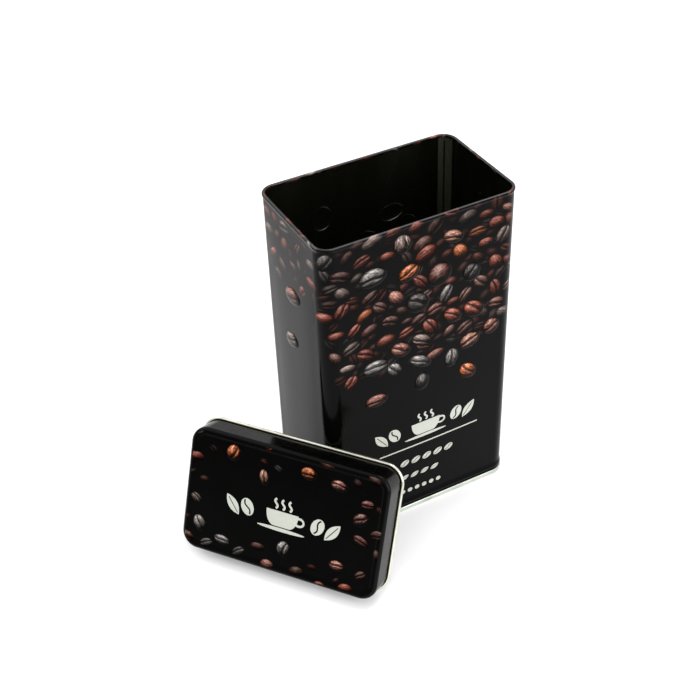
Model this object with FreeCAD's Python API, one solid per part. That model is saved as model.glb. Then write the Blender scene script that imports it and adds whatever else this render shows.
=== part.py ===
"""Rectangular coffee tin of folded tinplate: body wall, base end panel and loose lid.

All sizes are in millimetres. The origin is the centre of the tin's base ring on the surface it stands on,
+X runs along the long side, -Y is the front panel and +Z is up. The lid stands on its long hem beside
the tin and leans back against the tin's front left corner.
"""
import FreeCAD, Part
import math
import os

V = FreeCAD.Vector
Z_AXIS = V(0, 0, 1)

# Sheet
SHEET = 0.30          # tinplate thickness
PLAY = 0.02           # play between folded layers

# Tin, measured on the outside of the wall
TIN_LENGTH = 112.0
TIN_WIDTH = 68.0
TIN_HEIGHT = 190.0
TIN_CORNER = 8.2

# Rim: the wall's top edge rolled inwards
RIM_ROLL = 0.80       # centreline radius of the roll
RIM_PROUD = 0.40      # how far the roll stands out from the wall
RIM_LEAD = 30.0       # slope of the lead-in below the roll, degrees
RIM_WRAP = 280.0      # how far the roll goes round, degrees

# Base seam: the base panel's edge folded round the wall's flange
SEAM_HEIGHT = 2.90
SEAM_CORNER = 0.35    # centreline radius at the ring's two lower corners
NECK = 0.20           # how far the wall is drawn in at the seam
BEAD = 0.50           # how far the wall swells just above the seam
BEAD_RISE = 30.0      # slope below the swell, degrees
BEAD_FALL = 16.0      # slope above the swell, degrees
BEAD_FOOT = 2.0       # centreline radius where the swell starts

# Base panel
PANEL_HEIGHT = 3.70   # centreline height of the panel's outer flat
PANEL_CORNER = 0.90   # centreline radius from the upright part to the panel
PANEL_FLAT = 1.50     # width of the outer flat
PANEL_STEP = 1.00     # centreline radius of the two bends of the stiffening step
PANEL_SLOPE = 40.0    # slope of that step, degrees
PANEL_INSET = 6.50    # where the plain middle of the panel begins

# Side seam: the sheet's two ends lapped and welded, up the inside of the back right corner
WELD_TURN = 37.0      # its place round the corner from the back wall, degrees
WELD_LAP = 0.90       # width of the lap
WELD_PROUD = 0.15     # how far the pressed lap stands in from the sheet
WELD_BOTTOM = 9.6
WELD_TOP = 186.0

# Lid, measured on the outside of the skirt
LID_LENGTH = 114.0
LID_WIDTH = 70.0
LID_HEIGHT = 17.2
LID_CORNER = 9.2
LID_EDGE = 1.50       # centreline radius between the top and the skirt
LID_FRAME = 1.20      # width of the flat frame round the recessed panel
LID_STEP = 1.60       # centreline radius of the two bends down to the recess
LID_SLOPE = 35.0      # slope of that step, degrees
LID_INSET = 7.00      # where the plain middle of the panel begins
HEM_ROLL = 0.75       # centreline radius of the hem, rolled outwards
HEM_WRAP = 280.0

# Lid at rest
LEAN_YAW = 51.8       # turn of the lid's long side from the front panel, degrees
LEAN_TILT = 66.5      # slope of the lid's top from level, degrees
LEAN_ALONG = -15.2    # middle of the lid from the tin's corner, along the lid's long side
LEAN_CLEAR = 0.30     # play between the hem and the tin's corner

# Raised beans, pressed out of the sheet from inside: across, up, half length, half width, tilt in degrees
BEAN_RISE = 0.80
BEAN_ROUND = 2.0      # half height of the ellipsoid whose cap is the bean
FRONT_BEANS = [
    (-28.5, 166.5, 8.0, 5.3, 8),
    (-8.5, 162.5, 6.5, 4.4, 25),
    (9.0, 155.5, 7.3, 6.8, 0),
    (28.0, 150.0, 5.4, 5.4, 0),
    (-3.5, 143.0, 6.8, 5.9, 0),
    (-11.5, 180.0, 5.4, 5.2, 90),
    (17.0, 175.0, 6.3, 3.8, -15),
    (30.0, 126.5, 7.4, 5.0, -35),
    (17.0, 127.5, 6.0, 4.5, -35),
    (-28.0, 111.0, 7.8, 4.6, 5),
    (-13.6, 117.0, 6.2, 4.6, -25),
    (-2.0, 105.0, 7.2, 3.8, -30),
    (28.0, 106.5, 6.7, 4.7, 15),
    (41.6, 110.5, 5.4, 4.9, 0),
    (17.0, 99.6, 6.2, 4.2, 80),
    (-28.0, 89.0, 6.8, 4.1, 5),
    (-1.0, 91.0, 5.8, 4.4, 80),
    (27.5, 86.5, 6.3, 4.7, -45),
]
RIGHT_BEANS = [
    (-4.0, 165.5, 7.0, 5.0, 10),
    (6.0, 137.0, 7.3, 4.6, -20),
    (-9.0, 116.0, 6.4, 4.5, 25),
]
BACK_BEANS = [
    (20.5, 160.2, 7.2, 5.6, 90),
    (-21.0, 150.5, 7.2, 5.0, -5),
    (-30.5, 141.5, 5.8, 4.6, 15),
    (-6.0, 139.0, 5.6, 4.2, 10),
    (30.0, 128.5, 7.4, 5.0, -35),
    (10.0, 124.5, 6.0, 4.6, 30),
    (-42.0, 124.0, 5.6, 4.6, 40),
    (-26.0, 113.0, 7.8, 4.6, 5),
    (-9.0, 110.0, 6.2, 4.6, -25),
    (27.0, 105.0, 6.7, 4.7, 15),
    (9.0, 98.0, 7.2, 3.8, -30),
    (41.0, 112.0, 5.4, 4.9, 0),
    (-31.0, 92.0, 6.8, 4.1, 10),
    (-8.0, 88.5, 5.8, 4.4, 80),
    (28.5, 86.5, 6.3, 4.7, -45),
]
LEFT_BEANS = [
    (2.0, 146.0, 8.4, 4.9, 15),
    (-2.0, 116.0, 7.3, 4.5, 20),
]
LID_BEANS = [
    (-31.5, 25.0, 4.6, 4.2, 60),
    (-12.5, 16.0, 4.6, 2.9, 105),
    (12.0, 25.0, 4.6, 3.4, -5),
    (29.5, 23.0, 4.9, 3.0, -5),
    (43.5, 8.0, 4.8, 3.5, 30),
    (-47.0, -20.0, 4.9, 3.9, 120),
    (3.0, -20.5, 4.6, 4.0, 70),
    (34.0, -21.0, 4.8, 3.0, 0),
    (-32.5, -26.0, 5.4, 2.7, -8),
]


def turn(x, y, degrees):
    """The point (x, y) turned about the origin."""
    a = math.radians(degrees)
    return x * math.cos(a) - y * math.sin(a), x * math.sin(a) + y * math.cos(a)


def strip_face(start, heading, moves):
    """Cross-section of a sheet that follows runs and tangent bends, as a face in the XZ plane.

    start is the centreline's first point and heading its direction in degrees, 0 along +X and 90 along
    +Z. A move is ("run", length) or ("bend", degrees, centreline radius); a positive bend turns left.
    """
    half = SHEET / 2
    x, z = start
    sides = {1: [], -1: []}

    def side_point(px, pz, direction, side):
        dx, dz = turn(0, side * half, direction)
        return V(px + dx, 0, pz + dz)

    for move in moves:
        if move[0] == "run":
            dx, dz = turn(move[1], 0, heading)
            for side in sides:
                a = side_point(x, z, heading, side)
                b = side_point(x + dx, z + dz, heading, side)
                sides[side].append(Part.LineSegment(a, b).toShape())
            x, z = x + dx, z + dz
            continue
        _, angle, radius = move
        way = math.copysign(1, angle)
        cx, cz = turn(0, way * radius, heading)
        cx, cz = x + cx, z + cz
        stops = []
        for part in (0, 0.5, 1):
            direction = heading + part * angle
            dx, dz = turn(0, -way * radius, direction)
            stops.append((cx + dx, cz + dz, direction))
        for side in sides:
            a, b, c = [side_point(*stop, side) for stop in stops]
            sides[side].append(Part.Arc(a, b, c).toShape())
        x, z, heading = stops[-1]
    caps = []
    for end in (0, -1):
        ends = [sides[side][end].Vertexes[end].Point for side in (1, -1)]
        caps.append(Part.LineSegment(*ends).toShape())
    wire = Part.Wire(Part.__sortEdges__(sides[1] + sides[-1] + caps))
    return Part.Face(wire)


def run_round(face, length, width, corner):
    """The solid that a cross-section makes going round a rounded rectangle.

    The face's X is the distance out from the rectangle's outline and its Z is the height.
    """
    pieces = []
    for quarter in range(4):
        out, along = (length, width) if quarter % 2 == 0 else (width, length)
        reach = along / 2 - corner
        side = face.translated(V(out / 2, -reach, 0)).extrude(V(0, 2 * reach, 0))
        bend = face.translated(V(out / 2, reach, 0)).revolve(V(out / 2 - corner, reach, 0), Z_AXIS, 90)
        for piece in (side, bend):
            piece.rotate(V(0, 0, 0), Z_AXIS, 90 * quarter)
            pieces.append(piece)
    return pieces[0].multiFuse(pieces[1:]).removeSplitter()


def plate(length, width, corner, middle):
    """A flat rounded rectangle of sheet whose centreline is at the height middle."""
    low = middle - SHEET / 2
    box = Part.makeBox(length, width, SHEET, V(-length / 2, -width / 2, low))
    upright = [e for e in box.Edges if abs(e.Vertexes[0].Z - e.Vertexes[1].Z) > SHEET / 2]
    return box.makeFillet(corner, upright)


def ellipsoid(half_length, half_width, half_height):
    """An ellipsoid about the origin."""
    sizes = FreeCAD.Matrix()
    sizes.scale(half_length, half_width, half_height)
    return Part.makeSphere(1).transformGeometry(sizes)


def bean_tools(half_length, half_width, tilt):
    """The dome that a pressed bean adds above the sheet and the hollow that it leaves under it.

    Both are about the sheet's outer face at the origin, with +Z out of the sheet.
    """
    depth = BEAN_ROUND - BEAN_RISE
    spread = 1 / math.sqrt(1 - (depth / BEAN_ROUND) ** 2)
    a, b = half_length * spread, half_width * spread
    outer = ellipsoid(a, b, BEAN_ROUND)
    inner = ellipsoid(a - SHEET, b - SHEET, BEAN_ROUND - SHEET)
    for shape in (outer, inner):
        shape.translate(V(0, 0, -depth))
        shape.rotate(V(0, 0, 0), Z_AXIS, tilt)
    above = Part.makeBox(4 * a, 4 * a, 2 * BEAN_RISE, V(-2 * a, -2 * a, -SHEET / 2))
    return outer.common(above), inner


def press_beans(sheet, placed):
    """Presses beans into a sheet. placed holds (beans, placement of each bean) pairs."""
    domes, hollows = [], []
    for beans, place in placed:
        for across, up, half_length, half_width, tilt in beans:
            for tools, tool in zip((domes, hollows), bean_tools(half_length, half_width, tilt)):
                tool.Placement = place(across, up).multiply(tool.Placement)
                tools.append(tool)
    return sheet.multiFuse(domes).cut(hollows)


def on_wall(quarter):
    """Placement of a bean on one wall of the tin: quarter turns from the front wall."""
    out = (TIN_WIDTH if quarter % 2 == 0 else TIN_LENGTH) / 2
    facing = FreeCAD.Rotation(V(1, 0, 0), V(0, 0, 1), V(0, -1, 0), "XYZ")
    round_z = FreeCAD.Placement(V(0, 0, 0), FreeCAD.Rotation(Z_AXIS, 90 * quarter))
    return lambda across, up: round_z.multiply(FreeCAD.Placement(V(across, -out, up), facing))


# Heights of the two folds of the base seam, from the layers that they hold
FOLD = SHEET + PLAY                                  # distance between the middles of two layers
LOWER_FOLD = 2.5 * SHEET + 2 * PLAY                  # centre of the wall's flange bend
UPPER_FOLD = SEAM_HEIGHT - 1.5 * SHEET - PLAY        # centre of the base panel's bend
WALL_MIDDLE = -SHEET / 2                             # the plain wall's centreline
NECK_MIDDLE = WALL_MIDDLE - NECK                     # its centreline inside the seam


def wall_section():
    """The wall from the flange in the base seam up to the rolled rim."""
    rise, fall = math.radians(BEAD_RISE), math.radians(BEAD_FALL)
    crest = (NECK + BEAD) / (1 - math.cos(rise)) - BEAD_FOOT
    tail = BEAD / (1 - math.cos(fall)) - crest
    bead_height = (BEAD_FOOT + crest) * math.sin(rise) + (crest + tail) * math.sin(fall)
    lead = math.radians(RIM_LEAD)
    lead_radius = RIM_PROUD / (1 - math.cos(lead)) - RIM_ROLL
    lead_height = (lead_radius + RIM_ROLL) * math.sin(lead)
    roll_middle = TIN_HEIGHT - RIM_ROLL - SHEET / 2
    plain_height = roll_middle - lead_height - bead_height - SEAM_HEIGHT
    return strip_face(
        (NECK_MIDDLE + 2 * FOLD, UPPER_FOLD),
        -90,
        [
            ("run", UPPER_FOLD - LOWER_FOLD),
            ("bend", -180, FOLD),
            ("run", SEAM_HEIGHT - LOWER_FOLD),
            ("bend", -BEAD_RISE, BEAD_FOOT),
            ("bend", BEAD_RISE + BEAD_FALL, crest),
            ("bend", -BEAD_FALL, tail),
            ("run", plain_height),
            ("bend", -RIM_LEAD, lead_radius),
            ("bend", RIM_LEAD + RIM_WRAP, RIM_ROLL),
        ],
    )


def side_weld():
    """The welded lap, as a rib on the inside of the corner that starts within the sheet."""
    centre = V(TIN_LENGTH / 2 - TIN_CORNER, TIN_WIDTH / 2 - TIN_CORNER, WELD_BOTTOM)
    height = WELD_TOP - WELD_BOTTOM
    inside = TIN_CORNER - SHEET
    half_turn = math.degrees(WELD_LAP / 2 / inside)
    sector = Part.makeCylinder(inside + SHEET / 2, height, centre, Z_AXIS, 2 * half_turn)
    hollow = Part.makeCylinder(inside - WELD_PROUD, height, centre)
    rib = sector.cut(hollow)
    rib.rotate(centre, Z_AXIS, 90 - WELD_TURN - half_turn)
    return rib


def body_wall():
    """One sheet wrapped into a rounded rectangle, welded at the back right, rolled at the top."""
    tube = run_round(wall_section(), TIN_LENGTH, TIN_WIDTH, TIN_CORNER)
    wall = tube.fuse(side_weld()).removeSplitter()
    placed = [
        (FRONT_BEANS, on_wall(0)),
        (RIGHT_BEANS, on_wall(1)),
        (BACK_BEANS, on_wall(2)),
        (LEFT_BEANS, on_wall(3)),
    ]
    return press_beans(wall, placed)


def base_panel():
    """The end panel: hooked over the wall's flange, up inside the wall, then flat with a step."""
    outer_middle = NECK_MIDDLE + 3 * FOLD
    inner_middle = NECK_MIDDLE - FOLD
    slope = math.radians(PANEL_SLOPE)
    step_width = 2 * PANEL_STEP * math.sin(slope)
    step_depth = 2 * PANEL_STEP * (1 - math.cos(slope))
    flat_start = inner_middle - PANEL_CORNER
    edge = strip_face(
        (NECK_MIDDLE + FOLD, LOWER_FOLD + PLAY),
        90,
        [
            ("run", UPPER_FOLD - LOWER_FOLD - PLAY),
            ("bend", -180, FOLD),
            ("run", UPPER_FOLD - SHEET / 2 - SEAM_CORNER),
            ("bend", -90, SEAM_CORNER),
            ("run", outer_middle - inner_middle - 2 * SEAM_CORNER),
            ("bend", -90, SEAM_CORNER),
            ("run", PANEL_HEIGHT - PANEL_CORNER - SHEET / 2 - SEAM_CORNER),
            ("bend", 90, PANEL_CORNER),
            ("run", PANEL_FLAT),
            ("bend", PANEL_SLOPE, PANEL_STEP),
            ("bend", -PANEL_SLOPE, PANEL_STEP),
            ("run", PANEL_INSET + flat_start - PANEL_FLAT - step_width),
        ],
    )
    rim = run_round(edge, TIN_LENGTH, TIN_WIDTH, TIN_CORNER)
    middle = plate(
        TIN_LENGTH - 2 * PANEL_INSET,
        TIN_WIDTH - 2 * PANEL_INSET,
        TIN_CORNER - PANEL_INSET,
        PANEL_HEIGHT - step_depth,
    )
    return rim.fuse(middle).removeSplitter()


def lid_at_origin():
    """The lid with its open edge on the XY plane and its top facing +Z."""
    slope = math.radians(LID_SLOPE)
    step_width = 2 * LID_STEP * math.sin(slope)
    step_depth = 2 * LID_STEP * (1 - math.cos(slope))
    frame_middle = LID_HEIGHT - SHEET / 2
    panel_middle = frame_middle - step_depth
    frame_end = WALL_MIDDLE - LID_EDGE
    panel_run = LID_INSET + frame_end - LID_FRAME - step_width
    hem_middle = HEM_ROLL + SHEET / 2
    section = strip_face(
        (-LID_INSET, panel_middle),
        0,
        [
            ("run", panel_run),
            ("bend", LID_SLOPE, LID_STEP),
            ("bend", -LID_SLOPE, LID_STEP),
            ("run", LID_FRAME),
            ("bend", -90, LID_EDGE),
            ("run", frame_middle - LID_EDGE - hem_middle),
            ("bend", HEM_WRAP, HEM_ROLL),
        ],
    )
    shell = run_round(section, LID_LENGTH, LID_WIDTH, LID_CORNER)
    middle = plate(
        LID_LENGTH - 2 * LID_INSET,
        LID_WIDTH - 2 * LID_INSET,
        LID_CORNER - LID_INSET,
        panel_middle,
    )
    face = panel_middle + SHEET / 2
    on_top = lambda across, up: FreeCAD.Placement(V(across, up, face), FreeCAD.Rotation())
    return press_beans(shell.fuse(middle).removeSplitter(), [(LID_BEANS, on_top)])


def lean():
    """The lid's placement at rest: one long hem on the floor, the other against the tin's corner."""
    yaw, tilt = math.radians(LEAN_YAW), math.radians(LEAN_TILT)
    away = V(-math.sin(yaw), -math.cos(yaw), 0)
    along = V(math.cos(yaw), -math.sin(yaw), 0)
    outwards = away * math.sin(tilt) + Z_AXIS * math.cos(tilt)
    upwards = outwards.cross(along)
    hem_radius = HEM_ROLL + SHEET / 2
    hem_up = LID_WIDTH / 2 + WALL_MIDDLE + HEM_ROLL
    upper_hem = upwards * hem_up + outwards * hem_radius
    lower_hem = outwards * hem_radius - upwards * hem_up
    corner = V(TIN_CORNER - TIN_LENGTH / 2, TIN_CORNER - TIN_WIDTH / 2, 0)
    reach = TIN_CORNER + LEAN_CLEAR + hem_radius
    middle = corner + along * LEAN_ALONG + away * (reach - upper_hem.dot(away))
    middle.z = hem_radius - lower_hem.z
    return FreeCAD.Placement(middle, FreeCAD.Rotation(along, upwards, outwards, "XYZ"))


def lid():
    """The lid in its place beside the tin."""
    shape = lid_at_origin()
    shape.Placement = lean().multiply(shape.Placement)
    return shape


os.makedirs("parts", exist_ok=True)
for name, make in (("body_wall", body_wall), ("base_panel", base_panel), ("lid", lid)):
    solid = make()
    if len(solid.Solids) != 1 or not solid.isValid():
        raise RuntimeError(f"{name} is not one valid solid")
    solid.Solids[0].exportStep(f"parts/{name}.step")
    print(name, "volume", round(solid.Volume, 1), "mm3, box", solid.BoundBox)
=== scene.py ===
"""Looks of the coffee tin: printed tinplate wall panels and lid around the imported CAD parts.

Lengths in the making of the sheets are millimetres, in the CAD's frame; a mesh is scaled to metres when
it is made.
"""
import math
import random

import bpy
import numpy as np
from mathutils import Matrix, Vector
from mathutils.geometry import delaunay_2d_cdt


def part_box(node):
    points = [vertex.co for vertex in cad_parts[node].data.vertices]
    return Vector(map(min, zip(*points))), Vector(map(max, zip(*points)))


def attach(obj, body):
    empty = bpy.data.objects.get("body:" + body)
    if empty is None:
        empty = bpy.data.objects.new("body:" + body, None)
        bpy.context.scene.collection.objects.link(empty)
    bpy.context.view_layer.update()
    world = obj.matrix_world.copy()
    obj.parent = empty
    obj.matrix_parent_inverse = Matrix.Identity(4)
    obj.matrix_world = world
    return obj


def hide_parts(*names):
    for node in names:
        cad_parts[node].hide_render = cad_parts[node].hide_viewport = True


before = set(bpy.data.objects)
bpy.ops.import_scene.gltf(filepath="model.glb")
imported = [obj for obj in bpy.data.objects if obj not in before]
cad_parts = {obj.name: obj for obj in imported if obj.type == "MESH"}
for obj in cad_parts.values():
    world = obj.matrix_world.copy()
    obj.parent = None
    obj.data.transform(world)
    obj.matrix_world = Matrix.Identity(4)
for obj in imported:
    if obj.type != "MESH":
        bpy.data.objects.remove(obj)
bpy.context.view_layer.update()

MM = 0.001

# Sheet and tin, as in the CAD
SHEET = 0.30
TIN_LENGTH = 112.0
TIN_WIDTH = 68.0
TIN_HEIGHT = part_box("body_wall")[1].z / MM
TIN_CORNER = 8.2
RIM_ROLL = 0.80
RIM_PROUD = 0.40
RIM_LEAD = 30.0
RIM_WRAP = 280.0
SEAM_HEIGHT = 2.90
NECK = 0.20
BEAD = 0.50
BEAD_RISE = 30.0
BEAD_FALL = 16.0
BEAD_FOOT = 2.0
WELD_TURN = 37.0
WELD_LAP = 0.90
WELD_PROUD = 0.15
WELD_BOTTOM = 9.6
WELD_TOP = 186.0
WELD_RIPPLE = 0.02
STRIPE_TURNS = (13.0, 70.0)

# Spring of the sheet: each panel stands out a little between its corners, and between rim and base
LONG_BOW = 1.10
SHORT_BOW = 0.90
BOW_LOW = 8.0
BOW_HIGH = 184.0
BOW_GRID = (6.0, 11.0)
GROOVE_DEPTH = 0.12
GROOVE_WIDTH = 0.28

# Lid, as in the CAD
LID_LENGTH = 114.0
LID_WIDTH = 70.0
LID_HEIGHT = 17.2
LID_CORNER = 9.2
LID_EDGE = 1.50
LID_FRAME = 1.20
LID_STEP = 1.60
LID_SLOPE = 35.0
HEM_ROLL = 0.75
HEM_WRAP = 280.0
BARE_EDGE = 0.9
LEAN_YAW = 51.8
LEAN_TILT = 66.5
LEAN_ALONG = -15.2
LEAN_CLEAR = 0.30

# Pressing of the raised beans. Places in a bean are shares of the way to its outline
BEAN_RISE = 0.80
DOME_FLAT = 3.0       # how flat a bean is in its middle
DOME_EDGE = 0.62      # how steeply it meets the sheet
PRESS_CREASE = 0.09   # depth of the fine crease round it
CREASE_PLACE = 1.03
CREASE_WIDTH = 0.015
PRESS_REACH = 1.1
PRESS_RINGS = (1.08, 1.05, 1.03, 1.01, 0.997, 0.985, 0.95, 0.9, 0.82, 0.7, 0.5, 0.25)

# Print: each raised bean's picture is a little small and out of register
PRINT_SIZE = 0.93
PRINT_OFFSET = (-0.35, 0.45)
ROASTS = {
    "silver": (0.34, 0.31, 0.29),
    "amber": (0.80, 0.20, 0.045),
    "honey": (0.60, 0.27, 0.17),
    "chestnut": (0.46, 0.085, 0.035),
    "umber": (0.20, 0.065, 0.040),
    "rose": (0.46, 0.16, 0.11),
    "mocha": (0.38, 0.26, 0.22),
    "char": (0.06, 0.050, 0.045),
}
CREASED, ROUND_BACK = 0, 100
WALL_SEED, LID_SEED, GAP_SEED, WELD_SEED = 11, 23, 5, 5
HEAP_FOOT = 88.0      # the lowest that a loose printed bean can lie
GAP_COUNT = 10
GAP_HEIGHTS = (138, 176)
GAP_SIZES = (5, 9)

# Raised beans, placed as in the CAD: across, up, half length, half width, tilt in degrees, roast, and
# ROUND_BACK where the creased face doesn't show
FRONT_BEANS = [
    (-28.5, 166.5, 8.0, 5.3, 8, "silver"),
    (-8.5, 162.5, 6.5, 4.4, 25, "amber"),
    (9.0, 155.5, 7.3, 6.8, 30, "umber", ROUND_BACK),
    (28.0, 150.0, 5.4, 5.4, 60, "char"),
    (-3.5, 143.0, 6.8, 5.9, -20, "char"),
    (-11.5, 180.0, 5.4, 5.2, 90, "mocha"),
    (17.0, 175.0, 6.3, 3.8, -15, "honey"),
    (30.0, 126.5, 7.4, 5.0, -35, "chestnut"),
    (17.0, 127.5, 6.0, 4.5, -35, "chestnut"),
    (-28.0, 111.0, 7.8, 4.6, 5, "silver"),
    (-13.6, 117.0, 6.2, 4.6, -25, "rose"),
    (-2.0, 105.0, 7.2, 3.8, -30, "silver"),
    (28.0, 106.5, 6.7, 4.7, 15, "honey"),
    (41.6, 110.5, 5.4, 4.9, 20, "rose"),
    (17.0, 99.6, 6.2, 4.2, 80, "silver"),
    (-28.0, 89.0, 6.8, 4.1, 5, "rose"),
    (-1.0, 91.0, 5.8, 4.4, 80, "char", ROUND_BACK),
    (27.5, 86.5, 6.3, 4.7, -45, "amber"),
]
RIGHT_BEANS = [
    (-4.0, 165.5, 7.0, 5.0, 10, "umber"),
    (6.0, 137.0, 7.3, 4.6, -20, "chestnut"),
    (-9.0, 116.0, 6.4, 4.5, 25, "silver"),
]
BACK_BEANS = [
    (20.5, 160.2, 7.2, 5.6, 90, "silver"),
    (-21.0, 150.5, 7.2, 5.0, -5, "chestnut"),
    (-30.5, 141.5, 5.8, 4.6, 15, "char", ROUND_BACK),
    (-6.0, 139.0, 5.6, 4.2, 10, "amber"),
    (30.0, 128.5, 7.4, 5.0, -35, "honey"),
    (10.0, 124.5, 6.0, 4.6, 30, "chestnut"),
    (-42.0, 124.0, 5.6, 4.6, 40, "umber", ROUND_BACK),
    (-26.0, 113.0, 7.8, 4.6, 5, "silver"),
    (-9.0, 110.0, 6.2, 4.6, -25, "rose"),
    (27.0, 105.0, 6.7, 4.7, 15, "chestnut"),
    (9.0, 98.0, 7.2, 3.8, -30, "silver"),
    (41.0, 112.0, 5.4, 4.9, 20, "umber"),
    (-31.0, 92.0, 6.8, 4.1, 10, "honey"),
    (-8.0, 88.5, 5.8, 4.4, 80, "amber"),
    (28.5, 86.5, 6.3, 4.7, -45, "rose"),
]
LEFT_BEANS = [
    (2.0, 146.0, 8.4, 4.9, 15, "rose"),
    (-2.0, 116.0, 7.3, 4.5, 20, "mocha"),
]
LID_BEANS = [
    (-31.5, 25.0, 4.6, 4.2, 60, "amber"),
    (-12.5, 16.0, 4.6, 2.9, 105, "honey"),
    (12.0, 25.0, 4.6, 3.4, -5, "amber"),
    (29.5, 23.0, 4.9, 3.0, -5, "rose"),
    (43.5, 8.0, 4.8, 3.5, 30, "umber"),
    (-47.0, -20.0, 4.9, 3.9, 120, "silver"),
    (3.0, -20.5, 4.6, 4.0, 70, "silver"),
    (34.0, -21.0, 4.8, 3.0, 0, "rose"),
    (-32.5, -26.0, 5.4, 2.7, -8, "silver"),
]


# ------------------------ lines and sheets


def turned(x, y, degrees):
    """The point (x, y) turned about the origin."""
    a = math.radians(degrees)
    return x * math.cos(a) - y * math.sin(a), x * math.sin(a) + y * math.cos(a)


class Track:
    """A line in a plane made of runs and tangent bends, read by the distance along it.

    A move is ("run", length) or ("bend", degrees, radius); a positive bend turns left. zero is the
    distance that the line's first point has.
    """

    def __init__(self, start, heading, moves, zero=0.0):
        self.parts = []
        self.first = zero
        x, y = start
        along = zero
        for move in moves:
            if move[0] == "run":
                length, bend, radius = move[1], 0.0, 1.0
            else:
                bend, radius = move[1], move[2]
                length = math.radians(abs(bend)) * radius
            self.parts.append((along, length, x, y, heading, bend, radius))
            if bend:
                way = math.copysign(1, bend)
                cx, cy = turned(0, way * radius, heading)
                ex, ey = turned(0, -way * radius, heading + bend)
                x, y = x + cx + ex, y + cy + ey
                heading += bend
            else:
                dx, dy = turned(length, 0, heading)
                x, y = x + dx, y + dy
            along += length
        self.last = along

    def at(self, along):
        """x, y and heading in radians at each distance along the line."""
        along = np.asarray(along, float)
        x, y, heading = (np.zeros(along.shape) for _ in range(3))
        for start, _, x0, y0, h0, bend, radius in self.parts:
            here = along >= start - 1e-9 if start > self.first else np.ones(along.shape, bool)
            t = (along - start)[here]
            a0 = math.radians(h0)
            if bend:
                way = math.copysign(1, bend)
                a = a0 + way * t / radius
                cx, cy = x0 - way * radius * math.sin(a0), y0 + way * radius * math.cos(a0)
                x[here] = cx + way * radius * np.sin(a)
                y[here] = cy - way * radius * np.cos(a)
                heading[here] = a
            else:
                x[here] = x0 + t * math.cos(a0)
                y[here] = y0 + t * math.sin(a0)
                heading[here] = a0
        return x, y, heading

    def stops(self, degrees):
        """Distances where the line's bends start, end and pass each step of that many degrees."""
        found = {round(self.first, 6), round(self.last, 6)}
        for start, length, _, _, _, bend, _ in self.parts:
            count = max(1, math.ceil(abs(bend) / degrees)) if bend else 1
            found.update(round(start + length * i / count, 6) for i in range(count + 1))
        return sorted(found)


def outline(length, width, corner):
    """A rounded rectangle from the middle of its front side, to the right, as a closed Track."""
    reach_x, reach_y = length / 2 - corner, width / 2 - corner
    moves = []
    for reach in (reach_x, reach_y, reach_x, reach_y):
        moves += [("run", 2 * reach), ("bend", 90, corner)]
    return Track((-reach_x, -width / 2), 0, moves, zero=-reach_x)


def wall_profile():
    """The wall's centreline from inside the base seam up round the rolled rim, measured as height."""
    rise, fall = math.radians(BEAD_RISE), math.radians(BEAD_FALL)
    crest = (NECK + BEAD) / (1 - math.cos(rise)) - BEAD_FOOT
    tail = BEAD / (1 - math.cos(fall)) - crest
    bead_height = (BEAD_FOOT + crest) * math.sin(rise) + (crest + tail) * math.sin(fall)
    bead_length = (BEAD_FOOT + crest) * rise + (crest + tail) * fall
    lead = math.radians(RIM_LEAD)
    lead_radius = RIM_PROUD / (1 - math.cos(lead)) - RIM_ROLL
    lead_height = (lead_radius + RIM_ROLL) * math.sin(lead)
    roll_middle = TIN_HEIGHT - RIM_ROLL - SHEET / 2
    foot = SEAM_HEIGHT / 2
    plain = roll_middle - lead_height - bead_height - SEAM_HEIGHT
    return Track(
        (-SHEET / 2 - NECK, foot),
        90,
        [
            ("run", SEAM_HEIGHT - foot),
            ("bend", -BEAD_RISE, BEAD_FOOT),
            ("bend", BEAD_RISE + BEAD_FALL, crest),
            ("bend", -BEAD_FALL, tail),
            ("run", plain),
            ("bend", -RIM_LEAD, lead_radius),
            ("bend", RIM_LEAD + RIM_WRAP, RIM_ROLL),
        ],
        zero=foot + bead_height - bead_length,
    )


TIN_RING = outline(TIN_LENGTH, TIN_WIDTH, TIN_CORNER)
TIN_ROUND = TIN_RING.last - TIN_RING.first
TIN_PROFILE = wall_profile()
RIM_CREST = [TIN_PROFILE.parts[-1][0] + math.radians(turn) * RIM_ROLL for turn in (72, 180)]
SIDE_LENGTHS = {"front": TIN_LENGTH, "right": TIN_WIDTH, "back": TIN_LENGTH, "left": TIN_WIDTH}
SIDE_STARTS = {
    "front": 0.0,
    "right": TIN_ROUND / 4,
    "back": TIN_ROUND / 2,
    "left": TIN_ROUND * 3 / 4,
}


def bean_height(across, up, beans):
    """How far pressed beans lift the sheet at each place."""
    lift = np.zeros(np.shape(across))
    for bean in beans:
        u, v = bean_place(bean, across, up)
        away = np.sqrt(u * u + v * v)
        dome = np.clip(1 - away**DOME_FLAT, 0, 1) ** DOME_EDGE
        crease = PRESS_CREASE * np.exp(-(((away - CREASE_PLACE) / CREASE_WIDTH) ** 2))
        lift = np.where(away < PRESS_REACH, BEAN_RISE * dome - crease, lift)
    return lift


def bean_place(bean, across, up):
    """Places measured along and across a bean, 1 at its outline."""
    x, y, half_length, half_width, tilt = bean[:5]
    a = math.radians(tilt)
    dx, dy = across - x, up - y
    u = (dx * math.cos(a) + dy * math.sin(a)) / half_length
    v = (dy * math.cos(a) - dx * math.sin(a)) / half_width
    return u, v


def ellipse(x, y, half_width, half_height, tilt=0.0, count=28):
    """Points round a turned ellipse."""
    points = []
    for i in range(count):
        a = 2 * math.pi * i / count
        dx, dy = turned(half_width * math.cos(a), half_height * math.sin(a), tilt)
        points.append((x + dx, y + dy))
    return points


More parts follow.
